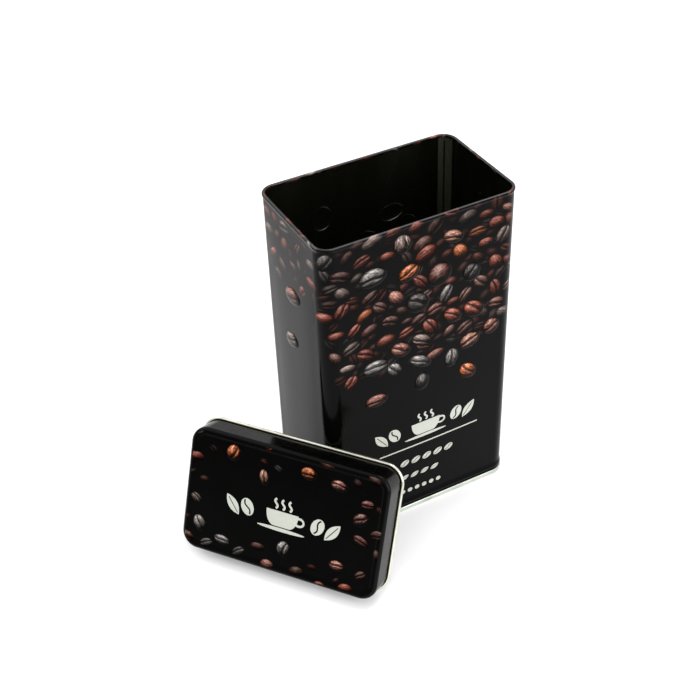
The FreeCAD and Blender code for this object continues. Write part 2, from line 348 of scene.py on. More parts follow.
def bean_outline(bean, count=26, size=1.0):
    """Points round a bean, or round the same bean scaled about its middle."""
    x, y, half_length, half_width, tilt = bean[:5]
    return ellipse(x, y, size * half_length, size * half_width, tilt, count)


def add_object(name, data):
    """A new object with that mesh, lamp or camera, in the scene."""
    obj = bpy.data.objects.new(name, data)
    bpy.context.scene.collection.objects.link(obj)
    return obj


class Shape:
    """A printed patch: its outline and what it is. bean is None for plain ink."""

    def __init__(self, points, ink, bean=None, look=None):
        turning = sum(x0 * y1 - x1 * y0 for (x0, y0), (x1, y1) in zip(points, points[1:] + points[:1]))
        self.points = points if turning > 0 else points[::-1]
        self.ink = ink
        self.bean = bean
        self.look = look


def cut_flat(border, lines, shapes, loops):
    """Triangles of a flat sheet that follow every line and outline, each with its topmost shape.

    border is the sheet's outline, lines are open pairs of points, loops closed rings of points.
    """
    points, edges, faces = [], [], []

    def ring(outline_points):
        first = len(points)
        points.extend(Vector(p) for p in outline_points)
        return list(range(first, len(points)))

    faces.append(ring(border))
    for shape in shapes:
        faces.append(ring(shape.points))
    for loop in loops:
        ids = ring(loop)
        edges.extend((ids[i], ids[(i + 1) % len(ids)]) for i in range(len(ids)))
    for a, b in lines:
        ids = ring((a, b))
        edges.append(tuple(ids))
    made = delaunay_2d_cdt(points, edges, faces, 1, 1e-5, True)
    verts, triangles, origins = made[0], made[2], made[5]
    kept, tops = [], []
    for triangle, origin in zip(triangles, origins):
        if 0 not in origin:
            continue
        kept.append(list(triangle))
        tops.append(max(origin) - 1)
    flat = np.array([tuple(v) for v in verts], float)
    corners = flat[np.array(kept)]
    ab, ac = corners[:, 1] - corners[:, 0], corners[:, 2] - corners[:, 0]
    area = ab[:, 0] * ac[:, 1] - ab[:, 1] * ac[:, 0]
    solid = np.abs(area) > 1e-9
    kept = [t[::-1] if a < 0 else t for t, a, ok in zip(kept, area, solid) if ok]
    tops = [t for t, ok in zip(tops, solid) if ok]
    return *used_points(flat, kept), tops


def used_points(flat, triangles):
    """Only the points that the triangles have, and the triangles numbered to match."""
    used = sorted({i for t in triangles for i in t})
    renumber = {old: new for new, old in enumerate(used)}
    return flat[used], [[renumber[i] for i in t] for t in triangles]


def closed_ring(flat, triangles):
    """The same triangles with the strip's last edge joined to its first, so that it has no ends."""
    low, high = flat[:, 0].min(), flat[:, 0].max()
    first = [i for i in range(len(flat)) if abs(flat[i, 0] - low) < 1e-4]
    joined = {}
    for i in range(len(flat)):
        if abs(flat[i, 0] - high) < 1e-4:
            joined[i] = min(first, key=lambda other: abs(flat[other, 1] - flat[i, 1]))
    return used_points(flat, [[joined.get(i, i) for i in t] for t in triangles])


def sheet_mesh(name, flat, triangles, tops, shapes, place, printed, bare_side, flip=False):
    """A closed mesh of the whole sheet's thickness: printed side out, the other side in.

    place(a, b, lift) gives points; printed(ink, a, b) gives the material of a shape's ink, or of None,
    there; bare_side(a, b) gives the material of the inside and of the sheet's cut edge.
    """
    a, b = flat[:, 0], flat[:, 1]
    step = 0.01
    normals = {}
    sides = {}
    for side, lift in ((1, SHEET / 2), (-1, -SHEET / 2)):
        sides[side] = place(a, b, lift)
        da = place(a + step, b, lift) - place(a - step, b, lift)
        db = place(a, b + step, lift) - place(a, b - step, lift)
        n = np.cross(da, db) * (-side if flip else side)
        normals[side] = n / np.linalg.norm(n, axis=1)[:, None]
    count = len(flat)
    verts = np.concatenate([sides[1], sides[-1]])
    faces, loop_normals, face_inks, face_tops = [], [], [], []
    for triangle, top in zip(triangles, tops):
        out = triangle[::-1] if flip else triangle
        faces.append(out)
        loop_normals += [normals[1][i] for i in out]
        ink = shapes[top].ink if top >= 0 else None
        face_inks.append(printed(ink, *flat[triangle].mean(0)))
        face_tops.append(top)
    for triangle in triangles:
        back = triangle if flip else triangle[::-1]
        faces.append([count + i for i in back])
        loop_normals += [normals[-1][i] for i in back]
        face_inks.append(bare_side(*flat[triangle].mean(0)))
        face_tops.append(-1)
    for i, j in border_edges(triangles):
        quad = [i, j, count + j, count + i] if flip else [j, i, count + i, count + j]
        faces.append(quad)
        p = verts[quad]
        n = np.cross(p[1] - p[0], p[2] - p[0])
        n = n / max(np.linalg.norm(n), 1e-12)
        loop_normals += [n] * 4
        face_inks.append(bare_side(*flat[i]))
        face_tops.append(-1)
    mesh = bpy.data.meshes.new(name)
    mesh.from_pydata([tuple(v * MM) for v in verts], [], faces)
    materials = list(dict.fromkeys(face_inks))
    for material in materials:
        mesh.materials.append(material)
    mesh.polygons.foreach_set("material_index", [materials.index(m) for m in face_inks])
    mesh.polygons.foreach_set("use_smooth", [True] * len(faces))
    print_attributes(mesh, faces, flat, face_tops, shapes)
    mesh.normals_split_custom_set([tuple(n) for n in loop_normals])
    mesh.update()
    return add_object(name, mesh)


def border_edges(triangles):
    """Edges that only one triangle has, in that triangle's order."""
    seen = {}
    for t in triangles:
        for i, j in zip(t, t[1:] + t[:1]):
            seen[(i, j)] = True
    return [(i, j) for i, j in seen if (j, i) not in seen]


def print_attributes(mesh, faces, flat, face_tops, shapes):
    """Per corner: the place in the bean under it, the bean's tilt and softness, and its roast."""
    places, turns, roasts = [], [], []
    for face, top in zip(faces, face_tops):
        shape = shapes[top] if top >= 0 else None
        for i in face:
            if shape is None or shape.bean is None:
                places.append((9.0, 9.0, 0.0))
                turns.append((1.0, 0.0, 0.1))
                roasts.append((0.0, 0.0, 0.0, 0.0))
                continue
            look = shape.look
            a = math.radians(shape.bean[4])
            u, v = bean_place(shape.bean, flat[i][0], flat[i][1])
            places.append((u, v, look["seed"]))
            turns.append((math.cos(a), math.sin(a), look["soft"]))
            roasts.append((*look["roast"], look["light"]))
    for name, kind, key, values in (
        ("bean_place", "FLOAT_VECTOR", "vector", places),
        ("bean_turn", "FLOAT_VECTOR", "vector", turns),
        ("bean_roast", "FLOAT_COLOR", "color", roasts),
    ):
        attribute = mesh.attributes.new(name, kind, "CORNER")
        attribute.data.foreach_set(key, np.array(values, np.float32).ravel())


# ------------------------ the print


def pressed_shapes(beans, rng):
    """Printed beans on the pressed ones, a little smaller and a little out of register."""
    shapes = []
    for x, y, half_length, half_width, tilt, roast, *back in beans:
        face = back[0] if back else CREASED
        size = (PRINT_SIZE * half_length, PRINT_SIZE * half_width)
        bean = (x + PRINT_OFFSET[0], y + PRINT_OFFSET[1], *size, tilt)
        look = {"roast": ROASTS[roast], "seed": face + rng.uniform(0, 50), "soft": 0.05, "light": 1.0}
        shapes.append(Shape(bean_outline(bean, 32), "print", bean, look))
    return shapes


def scatter(rng, heap, count, size, softness, light, spacing, taken):
    """Beans thrown at random over a heap, kept apart from each other and where it allows them.

    heap is its extent (low and high across, low and high up), its density and its shade.
    """
    (a0, a1, b0, b1), density, shade = heap
    shapes = []
    roast_names = ["chestnut", "umber", "rose", "mocha", "silver", "amber"]
    weights = [46, 23, 10, 10, 8, 3]
    for _ in range(count):
        x, y = rng.uniform(a0, a1), rng.uniform(b0, b1)
        half_length = rng.uniform(*size)
        half_width = half_length * rng.uniform(0.50, 0.76)
        tilt = rng.gauss(2, 36)
        roast = rng.choices(roast_names, weights)[0]
        shows_back = rng.random() < 0.62 and roast != "silver"
        seed = (ROUND_BACK if shows_back else CREASED) + rng.uniform(0, 50)
        soft = rng.uniform(*softness)
        strength = rng.uniform(*light) * shade(y)
        chance = rng.random()
        if chance > density(x, y):
            continue
        reach = spacing * (half_length + half_width) / 2
        if any(math.hypot(x - tx, y - ty) < reach + spacing * tr for tx, ty, tr in taken):
            continue
        taken.append((x, y, (half_length + half_width) / 2))
        bean = (x, y, half_length, half_width, tilt)
        look = {"roast": ROASTS[roast], "seed": seed, "soft": soft, "light": strength}
        shapes.append(Shape(bean_outline(bean), "print", bean, look))
    return shapes


def band(x, low, high):
    """0 below low, 1 above high, smooth between."""
    t = min(1.0, max(0.0, (x - low) / (high - low)))
    return t * t * (3 - 2 * t)


def heap_gaps(rng, count):
    """Dark gaps at random in the wall's heap of beans: distance round, height, radius."""
    return [
        (rng.uniform(0, TIN_ROUND), rng.uniform(*GAP_HEIGHTS), rng.uniform(*GAP_SIZES))
        for _ in range(count)
    ]


HEAP_GAPS = heap_gaps(random.Random(GAP_SEED), GAP_COUNT)


def wall_density(s, z):
    """How likely a printed bean is at a place on the wall: thick at the top, falling away below."""
    half_round = TIN_ROUND / 2
    from_long = abs((s + half_round / 2) % half_round - half_round / 2)
    side = band(from_long, 44, 62)
    if any(math.hypot(s - x, z - y) < radius for x, y, radius in HEAP_GAPS):
        return 0.0
    return band(z, 98 + 48 * side, 122 + 46 * side)


def top_shade(z):
    """The heap of beans sinks into shade towards the rim."""
    return 1 - 0.40 * band(z, 158, 184)


def wall_print():
    """Every printed bean round the wall, farthest first, in distance round and height."""
    rng = random.Random(WALL_SEED)
    pressed = []
    for side, beans in (
        ("front", FRONT_BEANS),
        ("right", RIGHT_BEANS),
        ("back", BACK_BEANS),
        ("left", LEFT_BEANS),
    ):
        for bean in beans:
            pressed.append(((SIDE_STARTS[side] + bean[0]) % TIN_ROUND, *bean[1:]))
    taken = [(b[0], b[1], (b[2] + b[3]) / 2) for b in pressed]
    heap = ((0, TIN_ROUND, HEAP_FOOT, TIN_HEIGHT + 3), wall_density, top_shade)
    near = scatter(rng, heap, 6000, (5.0, 7.0), (0.12, 0.5), (0.45, 1.0), 0.95, taken)
    middle = scatter(rng, heap, 3000, (4.4, 6.4), (0.35, 0.8), (0.20, 0.50), 0.80, taken)
    far = scatter(rng, heap, 3000, (3.6, 5.8), (0.6, 0.95), (0.06, 0.20), 0.60, taken)
    return far + middle + near + pressed_shapes(pressed, rng), pressed


def shifted(shape, s):
    """The same patch moved along the wall."""
    points = [(x + s, y) for x, y in shape.points]
    bean = (shape.bean[0] + s, *shape.bean[1:]) if shape.bean else None
    return Shape(points, shape.ink, bean, shape.look)


# ------------------------ materials


def feed(tree, value, socket):
    """Link a Wire to a socket, or set the socket to a plain value."""
    if isinstance(value, Wire):
        tree.links.new(value.socket, socket)
    else:
        socket.default_value = value


class Wire:
    """A value in a node tree. Arithmetic on it adds Math nodes."""

    def __init__(self, tree, socket):
        self.tree = tree
        self.socket = socket

    def math(self, operation, *others, clamp=False):
        node = self.tree.nodes.new("ShaderNodeMath")
        node.operation = operation
        node.use_clamp = clamp
        for socket, value in zip(node.inputs, (self, *others)):
            feed(self.tree, value, socket)
        return Wire(self.tree, node.outputs[0])

    def __add__(self, other):
        return self.math("ADD", other)

    def __sub__(self, other):
        return self.math("SUBTRACT", other)

    def __mul__(self, other):
        return self.math("MULTIPLY", other)

    def __truediv__(self, other):
        return self.math("DIVIDE", other)

    def __pow__(self, other):
        return self.math("POWER", other)

    __radd__ = __add__
    __rmul__ = __mul__

    def __rsub__(self, other):
        return (self * -1.0) + other

    def ramp(self, low, high, to_low=0.0, to_high=1.0):
        """Smoothly from to_low at low to to_high at high."""
        node = self.tree.nodes.new("ShaderNodeMapRange")
        node.interpolation_type = "SMOOTHSTEP"
        for name, value in zip(("From Min", "From Max", "To Min", "To Max"), (low, high, to_low, to_high)):
            feed(self.tree, value, node.inputs[name])
        self.tree.links.new(self.socket, node.inputs["Value"])
        return Wire(self.tree, node.outputs["Result"])


class Finish:
    """A material under construction, with short ways to add the nodes used here."""

    def __init__(self, name):
        self.material = bpy.data.materials.new(name)
        self.material.use_nodes = True
        self.tree = self.material.node_tree
        self.shader = self.tree.nodes["Principled BSDF"]

    def set(self, **values):
        for name, value in values.items():
            self.shader.inputs[name.replace("_", " ")].default_value = value

    def link(self, value, name):
        self.tree.links.new(value.socket, self.shader.inputs[name])

    def attribute(self, name):
        node = self.tree.nodes.new("ShaderNodeAttribute")
        node.attribute_name = name
        return node

    def split(self, socket):
        node = self.tree.nodes.new("ShaderNodeSeparateXYZ")
        self.tree.links.new(socket, node.inputs[0])
        return [Wire(self.tree, out) for out in node.outputs]

    def join(self, x, y, z):
        node = self.tree.nodes.new("ShaderNodeCombineXYZ")
        for socket, value in zip(node.inputs, (x, y, z)):
            feed(self.tree, value, socket)
        return Wire(self.tree, node.outputs[0])

    def place(self):
        node = self.tree.nodes.new("ShaderNodeTexCoord")
        return Wire(self.tree, node.outputs["Object"])

    def noise(self, where, scale, detail=3.0, roughness=0.5, stretch=(1, 1, 1)):
        mapping = self.tree.nodes.new("ShaderNodeMapping")
        mapping.inputs["Scale"].default_value = stretch
        self.tree.links.new(where.socket, mapping.inputs["Vector"])
        node = self.tree.nodes.new("ShaderNodeTexNoise")
        node.inputs["Scale"].default_value = scale
        node.inputs["Detail"].default_value = detail
        node.inputs["Roughness"].default_value = roughness
        self.tree.links.new(mapping.outputs[0], node.inputs["Vector"])
        return Wire(self.tree, node.outputs["Fac"])

    def mix(self, factor, low, high):
        """Colour from low to high by a factor; a colour is a Wire or three numbers."""
        node = self.tree.nodes.new("ShaderNodeMix")
        node.data_type = "RGBA"
        feed(self.tree, factor, node.inputs[0])
        for index, colour in ((6, low), (7, high)):
            feed(self.tree, colour if isinstance(colour, Wire) else (*colour, 1.0), node.inputs[index])
        return Wire(self.tree, node.outputs[2])

    def scale(self, colour, amount):
        """A colour times a number."""
        node = self.tree.nodes.new("ShaderNodeVectorMath")
        node.operation = "SCALE"
        feed(self.tree, colour, node.inputs[0])
        self.tree.links.new(amount.socket, node.inputs["Scale"])
        return Wire(self.tree, node.outputs[0])

    def sum(self, a, b):
        node = self.tree.nodes.new("ShaderNodeVectorMath")
        node.operation = "ADD"
        self.tree.links.new(a.socket, node.inputs[0])
        self.tree.links.new(b.socket, node.inputs[1])
        return Wire(self.tree, node.outputs[0])

    def bump(self, height, strength, distance):
        node = self.tree.nodes.new("ShaderNodeBump")
        node.inputs["Strength"].default_value = strength
        node.inputs["Distance"].default_value = distance
        self.tree.links.new(height.socket, node.inputs["Height"])
        self.tree.links.new(node.outputs[0], self.shader.inputs["Normal"])


def varnish(finish):
    """Clear print varnish: nearly even gloss, with faint orange peel and handling marks."""
    where = finish.place()
    smears = finish.noise(where, 60, 4, 0.6)
    scuffs = finish.noise(where, 900, 2, 0.5, (1, 1, 0.08))
    finish.link(smears.ramp(0.35, 0.75, 0.13, 0.22) + scuffs.ramp(0.62, 0.8, 0.0, 0.10), "Roughness")
    peel = finish.noise(where, 700, 1)
    sway = finish.noise(where, 22, 1)
    finish.bump(peel * 0.02 + sway * 1.0, 0.25, 0.0006)


def bean_print(name, gloss):
    """Gloss black ink with photographic coffee beans, each lit from above in its own patch."""
    finish = Finish(name)
    bean = finish.attribute("bean_place")
    turn = finish.attribute("bean_turn")
    roast = finish.attribute("bean_roast")
    u, v, seed = finish.split(bean.outputs["Vector"])
    cos_a, sin_a, soft = finish.split(turn.outputs["Vector"])
    tone = Wire(finish.tree, roast.outputs["Color"])
    light = Wire(finish.tree, roast.outputs["Alpha"])

    away = (u * u + v * v).math("SQRT")
    cover = 1.0 - away.ramp(1.0 - soft, 0.995)
    local = finish.join(u, v, seed * 3.7)
    warp = finish.noise(local, 1.6, 3) - 0.5
    sharp = 1.0 - soft * 0.85
    fibres = (finish.noise(local, 2.2, 5, 0.62, (1.0, 3.6, 1.0)) - 0.5) * sharp + 0.5
    pits = (finish.noise(local, 9.0, 3, 0.6) - 0.5) * sharp + 0.5

    creased = seed.math("LESS_THAN", float(ROUND_BACK))
    shift = (seed * 12.9).math("SINE") * 0.20
    swing = (u * 2.7 + seed).math("SINE")
    off_crease = v - shift - swing * 0.10 - warp * 0.34
    ends = u.math("ABSOLUTE").ramp(0.80, 1.0, 1.0, 0.0) * creased
    gap = fibres.ramp(0.35, 0.65, 0.06, 0.21)
    valley = (1.0 - off_crease.math("ABSOLUTE").ramp(gap * 0.5, gap * 1.3)) * ends
    chaff = (1.0 - off_crease.math("ABSOLUTE").ramp(0.0, gap * 0.35)) * ends * sharp
    slope = off_crease / 0.25
    lips = slope * (slope * slope * -1.0).math("EXPONENT") * ends

    spread = 0.96 - creased * (1.0 - away * away) * 0.45
    flat_u = u * spread
    flat_v = v * spread - lips * 0.75
    side_x = flat_u * cos_a - flat_v * sin_a + warp * 0.35
    side_y = flat_u * sin_a + flat_v * cos_a + (fibres - 0.5) * 0.9
    rise = (1.0 - flat_u * flat_u - flat_v * flat_v).math("MAXIMUM", 0.04).math("SQRT")
    length = (side_x * side_x + side_y * side_y + rise * rise).math("SQRT")
    lamp = ((side_x * -0.22 + side_y * 0.80 + rise * 0.56) / length).math("MAXIMUM", 0.0)
    glance = ((side_x * -0.15 + side_y * 0.58 + rise * 0.80) / length).math("MAXIMUM", 0.0)

    grain = fibres.ramp(0.34, 0.66, 0.26, 1.45) * pits.ramp(0.34, 0.62, 0.42, 1.22)
    body = finish.scale(tone, (lamp**2.2 * 0.86 + 0.008) * grain)
    shine = finish.scale((0.60, 0.56, 0.54), glance**10.0 * grain * 0.27)
    dark_rim = away.ramp(0.74, 1.0, 1.0, 0.2)
    in_crease = 1.0 - valley * (0.98 - chaff * 0.30)
    picture = finish.scale(finish.sum(body, shine), dark_rim * in_crease * light)
    drift = finish.noise(finish.place(), 45, 2)
    ground = finish.mix(drift, (0.0006, 0.0006, 0.0006), (0.0016, 0.0014, 0.0013))
    finish.link(finish.mix(cover, ground, picture), "Base Color")
    finish.set(IOR=gloss)
    varnish(finish)
    return finish.material


def cream_ink():
    """Opaque cream ink under the same varnish."""
    finish = Finish("cream_ink")
    where = finish.place()
    screen = finish.noise(where, 500, 3, 0.6)
    drift = finish.noise(where, 40, 2)
    tone = finish.mix(screen * 0.6 + drift * 0.4, (0.37, 0.38, 0.335), (0.46, 0.475, 0.42))
    finish.link(tone, "Base Color")
    finish.set(IOR=1.3)
    varnish(finish)
    return finish.material


def inside_lacquer(name, dark, light):
    """Olive lacquer on the inside of the sheet, from dark to light where it runs thinner."""
    finish = Finish(name)
    where = finish.place()
    flow = finish.noise(where, 30, 4, 0.6, (1, 1, 0.25))
    specks = finish.noise(where, 700, 2, 0.5, (1, 1, 0.4))
    finish.link(finish.mix(flow * 0.7 + specks * 0.3, dark, light), "Base Color")
    finish.link(flow.ramp(0.3, 0.7, 0.16, 0.28), "Roughness")
    finish.set(IOR=1.7)
    finish.bump(finish.noise(where, 260, 2), 0.2, 0.0003)
    return finish.material


def tinplate(name, bright, dull, shine):
    """Bare tinplate: rolled grain, faint tarnish and rub marks. shine is its lowest roughness."""
    finish = Finish(name)
    where = finish.place()
    grain = finish.noise(where, 900, 3, 0.6, (0.06, 0.06, 1.0))
    tarnish = finish.noise(where, 55, 4, 0.65)
    rubs = finish.noise(where, 300, 2, 0.5, (0.3, 0.3, 1.0))
    finish.link(finish.mix(tarnish.ramp(0.4, 0.75), bright, dull), "Base Color")
    finish.link(grain.ramp(0.3, 0.7, shine, shine + 0.14) + rubs.ramp(0.6, 0.8, 0.0, 0.12), "Roughness")
    finish.set(Metallic=0.85)
    finish.bump(grain, 0.15, 0.0002)
    return finish.material


BEAN_PRINT = bean_print("bean_print", 1.135)
TOP_PRINT = bean_print("top_print", 1.08)
RIM_PRINT = bean_print("rim_print", 1.45)
SKIRT_PRINT = bean_print("skirt_print", 1.18)
CREAM_INK = cream_ink()
LACQUER = inside_lacquer("inside_lacquer", (0.0010, 0.0012, 0.0005), (0.0030, 0.0036, 0.0016))
STRIPE = inside_lacquer("seam_stripe", (0.014, 0.015, 0.010), (0.040, 0.042, 0.029))
WELD = inside_lacquer("weld_lacquer", (0.002, 0.002, 0.001), (0.006, 0.006, 0.003))
TINPLATE = tinplate("bright_tinplate", (0.60, 0.64, 0.58), (0.42, 0.45, 0.40), 0.32)
HEM_METAL = tinplate("hem_tinplate", (0.66, 0.65, 0.56), (0.48, 0.47, 0.39), 0.12)


# ------------------------ ornaments


def ribbon(path, width):
    """A closed outline of even width along a line of points, with blunt ends."""
    left, right = [], []
    for i, (x, y) in enumerate(path):
        x0, y0 = path[max(i - 1, 0)]
        x1, y1 = path[min(i + 1, len(path) - 1)]
        length = math.hypot(x1 - x0, y1 - y0)
        nx, ny = -(y1 - y0) / length * width / 2, (x1 - x0) / length * width / 2
        left.append((x + nx, y + ny))
        right.append((x - nx, y - ny))
    return left + right[::-1]


def wave(x, y, length, swing, turns, tilt, count=18):
    """Points of a wavy stroke about (x, y)."""
    points = []
    for i in range(count + 1):
        t = i / count
        dx, dy = turned((t - 0.5) * length, swing * math.sin(2 * math.pi * turns * (t - 0.5)), tilt)
        points.append((x + dx, y + dy))
    return points


def bean_glyph(x, y, half_length, half_width, tilt):
    """A flat cream bean with a dark wavy slit."""
    slit = ribbon(wave(x, y, 1.72 * half_length, 0.22 * half_width, 1, tilt), 0.24 * half_width)
    return [Shape(ellipse(x, y, half_length, half_width, tilt), "cream"), Shape(slit, "black")]


def leaf_glyph(x, y, half_length, half_width, tilt, count=14):
    """A pointed cream leaf with a dark midrib."""
    side = [(math.cos(math.pi * i / count), math.sin(math.pi * i / count)) for i in range(count + 1)]
    points = [(c * half_length, s * s * half_width) for c, s in side]
    points += [(-c * half_length, -s * s * half_width) for c, s in side[1:-1]]
    placed = [turned(px, py, tilt) for px, py in points]
    rib = [turned(px, 0, tilt) for px in (-0.8 * half_length, 0.72 * half_length)]
    return [
        Shape([(x + px, y + py) for px, py in placed], "cream"),
        Shape(ribbon([(x + px, y + py) for px, py in rib], 0.16 * half_width), "black"),
    ]


def cup_glyph(x, y, size):
    """A cream cup on a saucer, with a ring handle and three curls of steam. y is the saucer's foot."""
    count = 12
    rim, foot = 0.50 * size, 0.24 * size
    top, bottom = 0.60 * size, 0.13 * size
    bowl = [(x - rim, y + top), (x + rim, y + top)]
    for i in range(1, count + 1):
        a = math.pi / 2 * i / count
        bowl.append((x + foot + (rim - foot) * math.cos(a), y + top - (top - bottom) * math.sin(a)))
    bowl += [(2 * x - px, py) for px, py in bowl[:1:-1]]
    shapes = [
        Shape(ellipse(x + 0.53 * size, y + 0.42 * size, 0.17 * size, 0.15 * size), "cream"),
        Shape(ellipse(x + 0.54 * size, y + 0.42 * size, 0.10 * size, 0.08 * size), "black"),
        Shape(bowl, "cream"),
        Shape(ellipse(x, y + 0.045 * size, 0.74 * size, 0.055 * size), "cream"),
    ]
    for offset in (-0.22, 0.0, 0.22):
        curl = wave(x + offset * size, y + 0.81 * size, 0.30 * size, 0.045 * size, 1, 90)
        shapes.append(Shape(ribbon(curl, 0.065 * size), "cream"))
    return shapes


def emblem(x, y, width, height):
    """A cup between beans and leaves, in place of lettering. (x, y) is its middle."""
    foot = y - height / 2
    shapes = cup_glyph(x, foot, 0.98 * height)
    for side in (-1, 1):
        bean_x, leaf_x = x + side * 0.30 * width, x + side * 0.425 * width
        bean_y, leaf_y = y - 0.06 * height, y - 0.10 * height
        shapes += bean_glyph(bean_x, bean_y, 0.26 * height, 0.19 * height, 90 - side * 24)
        shapes += leaf_glyph(leaf_x, leaf_y, 0.34 * height, 0.15 * height, 90 - side * 38)
    return shapes


def front_marks(x):
    """Emblem, rule and three short rows of small motifs, centred on the distance x."""
    shapes = emblem(x + 1.5, 61, 64, 18)
    shapes.append(Shape(ribbon([(x - 27, 47.4), (x + 35, 47.4)], 0.9), "cream"))
    for i in range(5):
        shapes += bean_glyph(x - 11.5 + 7.0 * i, 36.5, 2.9, 1.9, 28)
    for i in range(4):
        shapes += leaf_glyph(x - 11.5 + 6.4 * i, 25.5, 2.9, 1.5, 28)
    for i in range(6):
        shapes.append(Shape(ellipse(x - 12.5 + 4.6 * i, 14.5, 1.5, 1.5), "cream"))
    return shapes


# ------------------------ the tin


def panel_bow(side, s, p):
    """How far a panel stands out between its corners, and between rim and base seam."""
    half_flat = SIDE_LENGTHS[side] / 2 - TIN_CORNER
    across = np.clip((s - SIDE_STARTS[side]) / half_flat, -1, 1)
    up = np.clip((p - BOW_LOW) / (BOW_HIGH - BOW_LOW), 0, 1)
    rise = LONG_BOW if SIDE_LENGTHS[side] == TIN_LENGTH else SHORT_BOW
    power = 2 if SIDE_LENGTHS[side] == TIN_LENGTH else 3
    return rise * (1 - np.abs(across) ** power) * (1 - np.abs(2 * up - 1) ** 3)


def weld_distance(turn_degrees):
    """Distance round the tin at a turn from the back wall into its right corner."""
    reach = TIN_LENGTH / 2 - TIN_CORNER + TIN_CORNER * math.radians(turn_degrees)
    return SIDE_STARTS["back"] - reach


def seam_groove(s):
    """The fine step outside, where one end of the sheet laps over the other."""
    return -GROOVE_DEPTH * np.exp(-(((s - weld_distance(WELD_TURN)) / GROOVE_WIDTH) ** 2))


def wall_ink(ink, _, p):
    """Cream marks, black print, and the same print drawn bright where the rim is rolled."""
    if ink == "cream":
        return CREAM_INK
    return RIM_PRINT if RIM_CREST[0] < p < RIM_CREST[1] else BEAN_PRINT


def wall_paint(s, _):
    """The inside is lacquered dark, but for a thinner stripe over the side seam's corner."""
    far, near = (weld_distance(turn) for turn in STRIPE_TURNS)
    return STRIPE if near < s < far else LACQUER


def top_ink(ink, _, __):
    """Cream marks or black print on the lid's top."""
    return CREAM_INK if ink == "cream" else TOP_PRINT


def skirt_ink(_, __, ___):
    """The lid's skirt is all black print."""
    return SKIRT_PRINT


def top_paint(_, __):
    """The inside of the lid's top is lacquered all over."""
    return LACQUER


def wall_point(side, pressed):
    """place(s, p, lift) for a wall: distance round, distance up the profile, and off the sheet."""

    def place(s, p, lift):
        x, y, round_heading = TIN_RING.at((s - TIN_RING.first) % TIN_ROUND + TIN_RING.first)
        out, z, heading = TIN_PROFILE.at(p)
        lift = lift + bean_height(s, p, pressed) + panel_bow(side, s, p) + seam_groove(s)
        out = out + lift * np.sin(heading)
        z = z - lift * np.cos(heading)
        return np.stack([x + out * np.sin(round_heading), y - out * np.cos(round_heading), z], -1)

    return place


def wall_lines(s0, s1):
    """Lines that a wall's triangles follow: bends, bow, side seam and stripe."""
    low, high = TIN_PROFILE.first, TIN_PROFILE.last
    lines = []

    def upright(s):
        lines.append(((s, low), (s, high)))

    def level(p):
        lines.append(((s0, p), (s1, p)))

    for stop in TIN_RING.stops(6):
        for lap in range(-2, 7):
            s = stop + lap * TIN_ROUND
            if s0 + 1e-6 < s < s1 - 1e-6:
                upright(s)
    for stop in TIN_PROFILE.stops(9):
        if low + 1e-6 < stop < high - 1e-6:
            level(stop)
    columns = round((s1 - s0) / BOW_GRID[0])
    for i in range(2, columns - 1):
        upright(s0 + (s1 - s0) * i / columns)
    rows = round((BOW_HIGH - BOW_LOW) / BOW_GRID[1])
    for i in range(rows + 1):
        level(BOW_LOW + (BOW_HIGH - BOW_LOW) * i / rows)
    for i in range(-4, 5):
        s = weld_distance(WELD_TURN) + i * GROOVE_WIDTH / 2
        if s0 < s < s1:
            upright(s)
    for turn in STRIPE_TURNS:
        if s0 < weld_distance(turn) < s1:
            upright(weld_distance(turn))
    return lines


def wall_panel(side, beans, pressed_all):
    """One wall of the tin from corner middle to corner middle, with its share of the print."""
    centre = SIDE_STARTS[side]
    half = SIDE_LENGTHS[side] / 2 - TIN_CORNER + TIN_CORNER * math.pi / 4
    s0, s1 = centre - half, centre + half
    low, high = TIN_PROFILE.first, TIN_PROFILE.last
    shapes = []
    for shape in beans:
        offset = round((centre - shape.bean[0]) / TIN_ROUND) * TIN_ROUND
        reach = shape.bean[2]
        if abs(shape.bean[0] + offset - centre) < half + reach:
            shapes.append(shifted(shape, offset))
    if side in ("front", "back"):
        shapes += front_marks(centre)
    pressed = [(b[0] + round((centre - b[0]) / TIN_ROUND) * TIN_ROUND, *b[1:]) for b in pressed_all]
    pressed = [b for b in pressed if abs(b[0] - centre) < half]
    loops = []
    for bean in pressed:
        loops += [bean_outline(bean, 32, size) for size in PRESS_RINGS]
    border = [(s0, low), (s1, low), (s1, high), (s0, high)]
    flat, triangles, tops = cut_flat(border, wall_lines(s0, s1), shapes, loops)
    place = wall_point(side, pressed)
    obj = sheet_mesh(f"wall_{side}", flat, triangles, tops, shapes, place, wall_ink, wall_paint)
    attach(obj, "tin")
    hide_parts("body_wall")


